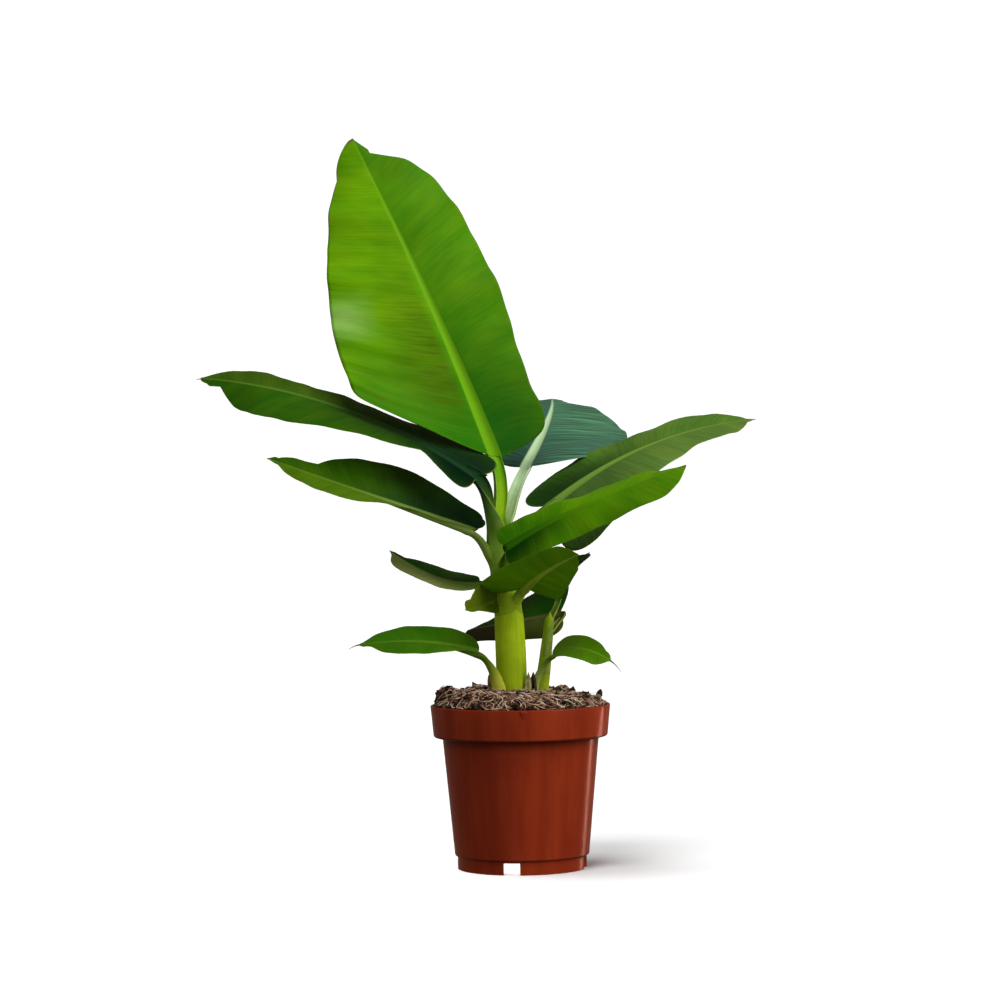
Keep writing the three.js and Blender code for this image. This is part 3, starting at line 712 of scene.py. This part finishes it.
def scatter_crumbs(name, seed, count, lengths, flatness, material, tilt=0.9):
    """Joined crumbs of bark and peat lying on the heap."""
    random = np.random.default_rng(seed)
    corners, faces = crumb_shape()
    places = spots(random, count)
    turns = random_turns(random, count, tilt)
    length = random.uniform(*lengths, count) / 2
    points = []
    rings = []
    for i in range(count):
        rough = corners * random.uniform(0.65, 1.25, (12, 1))
        size = length[i] * np.array([1, random.uniform(0.4, 0.75), flatness * random.uniform(0.6, 1.3)])
        lift = np.array([0, 0, random.uniform(-0.5, 1.5)])
        points.append((rough * size) @ turns[i].T + places[i] + lift)
        rings.append(faces + 12 * i)
    piece(name, np.concatenate(points), np.concatenate(rings), material, soft=False)


def tube(path, radii, sides):
    """Points and faces of a tapering tube along a path."""
    ways = unit(np.gradient(path, axis=0))
    helper = np.where(np.abs(ways[:, 2:3]) > 0.9, np.array([1.0, 0, 0]), UP)
    left = unit(np.cross(helper, ways))
    over = np.cross(ways, left)
    turns = np.linspace(0, 2 * math.pi, sides, endpoint=False)
    ring = left[:, None] * np.cos(turns)[None, :, None] + over[:, None] * np.sin(turns)[None, :, None]
    grid = path[:, None] + ring * np.asarray(radii)[:, None, None]
    faces = grid_faces(len(path), sides, closed=True).tolist()
    faces.append(list(range(sides))[::-1])
    faces.append(list(range((len(path) - 1) * sides, len(path) * sides)))
    return grid.reshape(-1, 3), faces


def scatter_fibres(name, seed, count, lengths, width, material):
    """Joined shreds and root fibres lying loosely and curled over the heap."""
    random = np.random.default_rng(seed)
    places = spots(random, count, SOIL_EDGE - 1)
    steps = 7
    share = np.linspace(-0.5, 0.5, steps)
    points = []
    faces = []
    total = 0
    for i in range(count):
        length = random.uniform(*lengths)
        heading = random.uniform(0, 2 * math.pi)
        turn = heading + random.uniform(-3.2, 3.2) * share + random.uniform(-6, 6) * share**2
        flat = np.stack([np.cos(turn), np.sin(turn)], axis=-1) * length / (steps - 1)
        path = np.zeros((steps, 3))
        path[:, :2] = np.cumsum(flat, axis=0) - flat.sum(axis=0) / 2 + places[i, :2]
        over = np.maximum(np.hypot(path[:, 0], path[:, 1]) / (SOIL_EDGE - 0.5), 1)[:, None]
        path[:, :2] /= over
        slope = random.uniform(-0.25, 0.45)
        arch = random.uniform(-0.1, 0.35)
        path[:, 2] = heap_height(path[:, 0], path[:, 1]) + random.uniform(-0.6, 0.9)
        path[:, 2] += length * (slope * np.maximum(share, 0) + arch * (0.25 - share**2))
        thick = width * random.uniform(0.6, 1.3) * (1 - 0.6 * np.abs(2 * share) ** 2)
        made, rings = tube(path, thick, 4)
        points.append(made)
        faces += [[corner + total for corner in ring] for ring in rings]
        total += len(made)
    piece(name, np.concatenate(points), faces, material)


def build_soil():
    build_soil_bed()
    dark = crumb_material("peat_crumbs", (26, 18, 13), (84, 60, 45), 1.4, 0.92)
    brown = crumb_material("bark_brown", (76, 52, 39), (136, 100, 77), 1.8, 0.85)
    red = crumb_material("bark_red", (104, 60, 42), (154, 100, 76), 1.8, 0.8)
    tan = crumb_material("fibre_tan", (172, 134, 108), (224, 188, 160), 1.6, 0.8)
    pale = crumb_material("fibre_pale", (214, 186, 158), (244, 224, 200), 1.6, 0.8)
    umber = crumb_material("fibre_brown", (110, 76, 60), (160, 120, 98), 1.6, 0.85)
    scatter_crumbs("soil_crumbs_dark", 11, 3800, (1.2, 3.8), 0.7, dark)
    scatter_crumbs("soil_crumbs_brown", 12, 1700, (1.2, 3.6), 0.6, brown)
    scatter_crumbs("soil_bark_dark", 13, 230, (5, 11), 0.45, dark)
    scatter_crumbs("soil_bark_red", 14, 90, (3, 8), 0.4, red)
    scatter_fibres("soil_fibres_tan", 15, 560, (4, 16), 0.34, tan)
    scatter_fibres("soil_fibres_pale", 16, 320, (5, 17), 0.33, pale)
    scatter_fibres("soil_fibres_brown", 17, 520, (4, 14), 0.38, umber)


def stem_at(stem, heights):
    """Axis, direction and radius of a stem at heights, carried on straight below its foot."""
    stations = stem["stations"]
    low, high = stations[0][2], stations[2][2]
    t = np.clip((np.asarray(heights, float) - low) / (high - low), 0, 1)
    places, ways = curve_at(stations, t)
    return places, ways, along(stem["radii"], t)


def build_stem(name):
    """The innermost roll of a stem, with fine lengthwise ribs, from under the soil to its top."""
    stem = STEMS[name]
    top = stem["stations"][2][2]
    heights = np.linspace(SOIL_TOP - 8, top, 90)
    axis, _, radius = stem_at(stem, heights)
    axis[:, 2] = heights
    turns = np.linspace(0, 2 * math.pi, 72, endpoint=False)
    inset = 0.08 * radius[0]
    ribs = 0.012 * radius[0] * np.sin(17 * turns)[None, :] * np.ones((90, 1))
    close = 1 - 0.9 * smooth(top - 6, top, heights)
    reach = ((radius - inset)[:, None] + ribs) * close[:, None]
    around = np.stack([np.cos(turns), np.sin(turns), 0 * turns], axis=-1)
    grid = axis[:, None] + reach[:, :, None] * around[None]
    faces = grid_faces(90, 72, closed=True).tolist()
    faces.append(list(range(72))[::-1])
    faces.append(list(range(89 * 72, 90 * 72)))
    share = (heights - heights[0]) / (heights[-1] - heights[0])
    fields = {
        "run": np.repeat(share, 72),
        "across": np.tile(np.cos(3 * turns) * 0.8, 90),
    }
    look = dict(name=name, start=heights[0], foot=(164, 186, 38), rib=(136, 162, 34))
    piece(name + "_roll", grid.reshape(-1, 3), faces, stalk_material(look), [name], fields)


SECTION_ANGLE = math.radians(100)
SECTION_COLUMNS = 37
SHEATH_ROWS = 30
STALK_ROWS = 64
ONWARD_ROWS = 5
SHEATH_THICKNESS = 0.7
LOOSE_HEIGHT = 30


def stalk_path(leaf):
    """Centres and directions of a stalk: up the stem inside its sheath, then out to the blade."""
    stem = STEMS[leaf["stem"]]
    root, root_way, _ = stem_at(stem, [leaf["start"]])
    aside, back = leaf.get("beside", (0, 0))
    root = root[0] + np.array([aside, back, 0])
    base, base_way = curve_at([leaf["base"], leaf["middle"], leaf["end"]], [0])
    reach = np.linalg.norm(base[0] - root)
    first = root + root_way[0] * leaf.get("rise", STALK_RISE) * reach
    second = base[0] - base_way[0] * leaf.get("arrival", STALK_ARRIVAL) * reach
    s = np.linspace(0, 1, STALK_ROWS)[:, None]
    path = root * (1 - s) ** 3 + first * 3 * s * (1 - s) ** 2 + second * 3 * s**2 * (1 - s) + base[0] * s**3
    onward, _ = curve_at([leaf["base"], leaf["middle"], leaf["end"]], np.linspace(0.008, 0.04, ONWARD_ROWS))
    low = leaf["start"] - leaf["sheath"] if leaf["sheath"] else leaf["start"] - 6
    heights = np.linspace(low, leaf["start"], SHEATH_ROWS, endpoint=False)
    below, _, _ = stem_at(stem, heights)
    below[:, 2] = heights
    below += np.array([aside, back, 0])
    return np.concatenate([below, path, onward])


def build_stalk(leaf):
    """Leaf stalk with a channel along its upper side, widening below into a sheath round the stem."""
    stem = STEMS[leaf["stem"]]
    path = stalk_path(leaf)
    count = len(path)
    ways = unit(np.gradient(path, axis=0))
    base, base_way = curve_at([leaf["base"], leaf["middle"], leaf["end"]], [0])
    heading = base[0] - path[SHEATH_ROWS]
    heading[2] = 0
    level = unit(np.cross(UP, heading))
    blade_level = unit(np.cross(UP, base_way[0]))
    roll = math.radians(leaf["roll"][0])
    blade_left = blade_level * math.cos(roll) + np.cross(base_way[0], blade_level) * math.sin(roll)
    out = np.clip((np.arange(count) - SHEATH_ROWS) / (STALK_ROWS - 1), 0, 1)
    turn = smooth(0.25, 1, out)[:, None]
    left = level * (1 - turn) + blade_left * turn
    left = unit(left - ways * np.sum(left * ways, axis=1, keepdims=True))
    over = np.cross(ways, left)

    across = np.linspace(-1, 1, SECTION_COLUMNS)
    angle = across * SECTION_ANGLE
    radius = blend(leaf["stalk"][0], leaf["stalk"][1], smooth(0, 0.9, out))
    radius[-ONWARD_ROWS:] *= np.linspace(0.97, 0.7, ONWARD_ROWS)
    radius = radius[:, None]
    sink = 0.2 * smooth(0.75, 1, out)
    sink[-ONWARD_ROWS:] += np.linspace(0.05, 0.25, ONWARD_ROWS)
    centre = path - over * radius * sink[:, None]
    rim = math.cos(SECTION_ANGLE)
    outer_x = -radius * np.sin(angle)
    outer_y = -radius * np.cos(angle)
    inner_x = outer_x * 0.9
    channel = blend(0.55, 0.43, smooth(0.6, 1, out))[:, None]
    inner_y = radius * (-rim - channel * (np.cos(angle) - rim))
    outer = centre[:, None] + left[:, None] * outer_x[:, :, None] + over[:, None] * outer_y[:, :, None]
    inner = centre[:, None] + left[:, None] * inner_x[:, :, None] + over[:, None] * inner_y[:, :, None]

    if leaf["sheath"]:
        axis, _, core = stem_at(stem, path[:, 2])
        axis[:, 2] = path[:, 2]
        away = np.linalg.norm((path - axis)[:, :2], axis=1)
        middle = math.atan2(heading[1], heading[0])
        depth = (leaf["start"] - path[:, 2]) / leaf["sheath"]
        spread = math.radians(60) + math.radians(95) * smooth(-0.7, 0.1, depth)
        turn = middle - across[None, :] * spread[:, None]
        keel = 0.9 * np.exp(-((across / 0.2) ** 2)) * stem["radii"][0] / 10
        ring = np.stack([np.cos(turn), np.sin(turn), 0 * turn], axis=-1)
        layer = (leaf["layer"] - 0.9) * stem["radii"][0] / 10
        core = core + leaf.get("flare", 0) * smooth(0.3, -0.6, depth)
        reach = (core + layer)[:, None] + keel[None, :] * smooth(0.1, -0.4, depth)[:, None]
        hug_outer = axis[:, None] + ring * reach[:, :, None]
        hug_inner = axis[:, None] + ring * (reach - SHEATH_THICKNESS)[:, :, None]
        free = smooth(0.1, 1.05, away / core)
        free = np.maximum(free, smooth(0, LOOSE_HEIGHT, path[:, 2] - stem["stations"][2][2]))[:, None, None]
        outer = blend(hug_outer, outer, free)
        inner = blend(hug_inner, inner, free)

    points, faces = shell(outer, inner)
    run = np.repeat(out[:, None], SECTION_COLUMNS, axis=1).ravel()
    cross = np.repeat(across[None, :], count, axis=0).ravel()
    fields = {"run": np.tile(run, 2), "across": np.tile(cross, 2)}
    name = leaf["name"] + "_stalk"
    piece(leaf["name"] + "_petiole", points, faces[:, ::-1], stalk_material(leaf), [name], fields)


def half_width(leaf, half, t):
    widths = leaf["right"] if half else leaf["left"]
    lobe = (t - leaf.get("lobe", EAR_PLACE)) / EAR_SPREAD
    ear = leaf.get("ear", (0, 0))[half] * np.exp(-(lobe**2))
    body = np.maximum(along(widths, (t - 0.25) / 0.5), BASE_SHARE * widths[0]) + ear
    base = np.sqrt(1 - np.clip(1 - t / ROUND_SHARE, 0, 1) ** 2)
    last = leaf.get("blunt", (BLUNT_END, BLUNT_END))[half]
    end = 1 - np.clip((t - BLUNT_START) / (last - BLUNT_START), 0, 1) ** BLUNT_POWER
    end = end * np.sqrt(1 - np.clip((t - TIP_START) / (1 - TIP_START), 0, 1) ** 2)
    drip = np.where(t > 0.5, DRIP_WIDTH * widths[1] * np.clip((1 - t) / (1 - DRIP_START), 0, 1), 0)
    return np.maximum(body * base * end + MARGIN_GROWTH * base, drip)


def blade_half(leaf, half, t, length, frame_of_blade, rib_radius):
    """Middle surface of one half of a blade, out from the midrib, and what lies where on it."""
    places, ways, left, over = frame_of_blade
    hand = 1 if half == 0 else -1
    width = np.maximum(half_width(leaf, half, t), rib_radius * 1.05)[:, None]
    rib = rib_radius[:, None]
    lamina = np.linspace(0, 1, LAMINA_COLUMNS + 1)[1:]
    gap = np.concatenate([rib * np.array(RIB_COLUMNS), rib + (width - rib) * lamina], axis=1)
    q = gap / width
    t = t[:, None]
    start = math.radians(leaf["lift"][half]) * (1 - FOLD_LOSS * t)
    bend = math.radians(leaf["curl"][half])
    out = width / bend * (np.sin(start + bend * q) - np.sin(start))
    rise = width / bend * (np.cos(start) - np.cos(start + bend * q))
    lean = np.radians(leaf["corner"][half] * (1 - t) ** 2 + leaf["sweep"] * t)
    ahead = np.tan(lean) * q**2 * width

    random = np.random.default_rng(len(leaf["name"]) * 10 + half)
    phases = random.uniform(0, 2 * math.pi, 4)
    vein = t * length - VEIN_LEAN * gap
    fade = smooth(0.02, 0.2, t) * (1 - smooth(0.86, 1, t))
    swell = np.sin(2 * math.pi * vein / 58 + phases[0]) + 0.5 * np.sin(2 * math.pi * vein / 27 + phases[1])
    pleat = np.sin(2 * math.pi * vein / PLEAT_PERIOD + phases[2] + 1.5 * np.sin(vein / 23))
    fine = np.sin(2 * math.pi * vein / VEIN_PERIOD + phases[3])
    blade = smooth(0, 0.15, (gap - rib) / width)
    relief = leaf["wave"] * swell * q**2.5 * fade + blade * fade * (PLEAT_DEPTH * pleat + VEIN_DEPTH * fine)

    angle = start + bend * q
    face = over[:, None] * np.cos(angle)[:, :, None] - hand * left[:, None] * np.sin(angle)[:, :, None]
    middle = places[:, None] + hand * left[:, None] * out[:, :, None] + over[:, None] * rise[:, :, None]
    middle = middle + ways[:, None] * ahead[:, :, None] + face * relief[:, :, None]
    inside = np.clip(gap / rib, 0, 1)
    groove = rib * (0.42 * (1 - t) ** 1.5 + 0.1) * (1 - inside**2)
    ridge = rib * (0.85 * (1 - t) + 0.25) * np.sqrt(1 - inside**2)
    thin = BLADE_THICKNESS / 2 * (1 - 0.7 * q**8)
    upper = middle + face * (thin - groove)[:, :, None]
    lower = middle - face * (thin + ridge)[:, :, None]
    fields = {
        "length": t + 0 * gap,
        "span": q,
        "vein": vein,
        "rib": gap - rib,
        "edge": width - gap,
        "side": 0.5 + (0.5 if half else -0.5) * smooth(0, 1, gap / rib),
    }
    return upper, lower, fields


def build_blade(leaf):
    stations = [leaf["base"], leaf["middle"], leaf["end"]]
    samples, _ = curve_at(stations, np.linspace(0, 1, 60))
    length = np.sum(np.linalg.norm(np.diff(samples, axis=0), axis=1))
    rows = max(60, int(length / ROW_STEP))
    u = np.linspace(0, 1, rows)
    t = u - 0.55 * np.sin(2 * math.pi * u) / (2 * math.pi)
    places, ways = curve_at(stations, t)
    level = unit(np.cross(UP, ways))
    above = np.cross(ways, level)
    roll = np.radians(along(leaf["roll"], t))[:, None]
    left = level * np.cos(roll) + above * np.sin(roll)
    over = above * np.cos(roll) - level * np.sin(roll)
    narrow = np.minimum(half_width(leaf, 0, t), half_width(leaf, 1, t))
    rib = leaf["stalk"][1] * (0.9 * (1 - t) ** 1.3 + 0.1 * (1 - t) + 0.04)
    rib = np.where(t > 0.5, np.minimum(rib, 0.5 * narrow + 0.02), rib)
    frame_of_blade = (places, ways, left, over)
    first = blade_half(leaf, 0, t, length, frame_of_blade, rib)
    second = blade_half(leaf, 1, t, length, frame_of_blade, rib)

    def whole(a, b):
        return np.concatenate([a[:, ::-1], b[:, 1:]], axis=1)

    upper = whole(first[0], second[0])
    lower = whole(first[1], second[1])
    points, faces = shell(upper, lower)
    fields = {}
    for key in first[2]:
        fields[key] = np.tile(whole(first[2][key], second[2][key]).ravel(), 2)
    count = upper.shape[0] * upper.shape[1]
    fields["upper"] = np.concatenate([np.ones(count), np.zeros(count)])
    node = leaf["name"] + "_blade"
    piece(leaf["name"] + "_lamina", points, faces, blade_material(leaf), [node], fields)


def build_thread(leaf):
    """The dried hair that ends a leaf, curling down from its tip."""
    places, ways = curve_at([leaf["base"], leaf["middle"], leaf["end"]], [0.985, 1])
    share = np.linspace(0, 1, 12)[:, None]
    droop = UP * leaf["thread"] * 0.35
    path = places[0] + (places[1] - places[0]) * share + ways[1] * leaf["thread"] * share - droop * share**2
    points, faces = tube(path, 0.55 - 0.42 * share[:, 0], 8)
    material = crumb_material(leaf["name"] + "_dry", (84, 66, 34), (124, 96, 56), 1.5, 0.8)
    piece(leaf["name"] + "_thread", points, faces, material)


def build_scale(name, place, height, width, lean, colours):
    """A dried leaf scale that stands at the stem's foot: curved across, drawn to a point."""
    rows = 24
    columns = 13
    up = np.linspace(0, 1, rows)[:, None]
    across = np.linspace(-1, 1, columns)[None, :]
    wide = width / 2 * np.sqrt(np.clip(1 - up**1.6, 0, 1)) * (1 + 0.3 * up)
    x = place[0] + across * wide + lean * up**1.5
    y = place[1] + 0.3 * width * across**2 * (1 - up) - 0.5 * waves(8 * across, 8 * up, 7, 2)
    z = SOIL_TOP - 4 + (height + 4) * up * (1 - 0.12 * across**2)
    face = np.stack([x, y, z], axis=-1)
    points, faces = shell(face, face + np.array([0, SCALE_THICKNESS, 0]))
    material = crumb_material(name + "_skin", *colours, 3, 0.7)
    piece(name, points, faces, material)


def build_scales():
    build_scale("husk_pale", (5, -9), 14, 5, 0.8, ((150, 140, 84), (196, 186, 130)))
    build_scale("husk_dark", (8.5, -6), 14, 5.5, 0.5, ((40, 34, 22), (78, 64, 40)))
    build_scale("husk_brown", (-17, -3), 14, 8, -3, ((150, 112, 84), (204, 164, 132)))
    build_scale("chip_right", (53, -4), 1.5, 4.5, 1, ((34, 26, 20), (70, 54, 44)))
    build_scale("chip_left", (-47, -8), 4, 9, -1, ((34, 26, 20), (70, 54, 44)))


def build_stage():
    mesh = bpy.data.meshes.new("floor")
    reach = 30
    corners = [(-reach, -reach, 0), (reach, -reach, 0), (reach, reach, 0), (-reach, reach, 0)]
    mesh.from_pydata(corners, [], [(0, 1, 2, 3)])
    shader = Shader("white_floor", Roughness=0.9, Specular_IOR_Level=0.0)
    shader.surface.inputs["Base Color"].default_value = (0.92, 0.92, 0.92, 1)
    mesh.materials.append(shader.material)
    floor = bpy.data.objects.new("floor", mesh)
    bpy.context.scene.collection.objects.link(floor)
    floor.visible_diffuse = False
    floor.visible_glossy = False
    return floor


def add_light(name, kind, place, target, energy, **settings):
    lamp = bpy.data.lights.new(name, kind)
    lamp.energy = energy
    for setting, value in settings.items():
        setattr(lamp, setting, value)
    made = bpy.data.objects.new(name, lamp)
    made.location = Vector(place)
    made.rotation_euler = (Vector(target) - Vector(place)).to_track_quat("-Z", "Y").to_euler()
    bpy.context.scene.collection.objects.link(made)
    return made


def collect(name, member):
    made = bpy.data.collections.new(name)
    made.objects.link(member)
    return made


def build_lights(floor, pot):
    scene = bpy.context.scene
    world = bpy.data.worlds.new("studio")
    scene.world = world
    world.use_nodes = True
    tree = world.node_tree
    sky = tree.nodes["Background"]
    height = tree.nodes.new("ShaderNodeSeparateXYZ")
    level = tree.nodes.new("ShaderNodeMapRange")
    level.inputs["From Min"].default_value = -0.5
    level.inputs["From Max"].default_value = 0.6
    level.inputs["To Min"].default_value = SKY_LOW
    level.inputs["To Max"].default_value = SKY_HIGH
    ways = tree.nodes.new("ShaderNodeTexCoord")
    tree.links.new(ways.outputs["Generated"], height.inputs[0])
    tree.links.new(height.outputs["Z"], level.inputs["Value"])
    tree.links.new(level.outputs[0], sky.inputs["Strength"])
    seen = tree.nodes.new("ShaderNodeBackground")
    seen.inputs["Color"].default_value = (1, 1, 1, 1)
    seen.inputs["Strength"].default_value = 1.1
    choose = tree.nodes.new("ShaderNodeMixShader")
    path = tree.nodes.new("ShaderNodeLightPath")
    warmth = tree.nodes.new("ShaderNodeMix")
    warmth.data_type = "RGBA"
    warmth.inputs[6].default_value = (1, 1, 1, 1)
    warmth.inputs[7].default_value = GLOSS_SKY
    tree.links.new(path.outputs["Is Glossy Ray"], warmth.inputs[0])
    tree.links.new(warmth.outputs[2], sky.inputs["Color"])
    tree.links.new(path.outputs["Is Camera Ray"], choose.inputs[0])
    tree.links.new(sky.outputs[0], choose.inputs[1])
    tree.links.new(seen.outputs[0], choose.inputs[2])
    tree.links.new(choose.outputs[0], tree.nodes["World Output"].inputs[0])
    middle = Vector(POT_AXIS) + Vector((0, 0, 0.25))
    box = dict(shape="RECTANGLE", size=1.5, size_y=1.5)
    strip = dict(shape="RECTANGLE", size=0.07, size_y=0.35, color=(1, 0.5, 0.36))
    key = add_light("key", "AREA", middle + Vector((0.6, -0.85, 2.1)), middle, 43, **box)
    fill = add_light("fill", "AREA", middle + Vector((1.9, -1.2, 0.5)), middle, 31, **box)
    edge = add_light("side_strip", "AREA", middle + Vector((1.1, 0.9, -0.45)), middle, 1.4, **strip)
    suns = []
    for name, (way, power) in FLOOR_SUNS.items():
        suns.append(add_light(name, "SUN", middle + Vector(way), middle, power, angle=FLOOR_SUN_SPREAD))
    under = Vector(POT_AXIS) + Vector((0, 0, (FLOOR_HEIGHT - 0.5) * MM))
    glow = add_light("under_pot", "AREA", under, Vector(POT_AXIS), 0.02, shape="DISK", size=0.07)
    ground = collect("ground", floor)
    caster = collect("shadow_caster", pot)
    glow.light_linking.receiver_collection = ground
    for lamp in suns:
        lamp.light_linking.receiver_collection = ground
        lamp.light_linking.blocker_collection = caster
    rest = collect("all_but_ground", floor)
    rest.collection_objects[0].light_linking.link_state = "EXCLUDE"
    for lamp in (key, fill, edge):
        lamp.light_linking.receiver_collection = rest
    edge.light_linking.blocker_collection = rest
    scene.view_settings.view_transform = "Standard"
    scene.view_settings.look = "None"


CAMERA_PLACE = (-11.85, -1950, 247.8)
CAMERA_TURN = -0.75
FOCAL_PIXELS = 2893
IMAGE_SIDE = 1000


def build_camera():
    data = bpy.data.cameras.new("camera")
    data.sensor_fit = "HORIZONTAL"
    data.sensor_width = 36
    data.lens = FOCAL_PIXELS * data.sensor_width / IMAGE_SIDE
    data.clip_end = 200
    camera = bpy.data.objects.new("camera", data)
    place = Vector(POT_AXIS) + Vector(CAMERA_PLACE) * MM
    turn = Matrix.Rotation(math.radians(90), 4, "X") @ Matrix.Rotation(math.radians(CAMERA_TURN), 4, "Z")
    camera.matrix_world = Matrix.Translation(place) @ turn
    bpy.context.scene.collection.objects.link(camera)
    bpy.context.scene.camera = camera


pot_shell = build_pot()
build_soil()
for stem_name in STEMS:
    build_stem(stem_name)
for one_leaf in LEAVES:
    build_stalk(one_leaf)
    build_blade(one_leaf)
    if "thread" in one_leaf:
        build_thread(one_leaf)
build_scales()
build_lights(build_stage(), pot_shell)
build_camera()

bpy.context.view_layer.update()
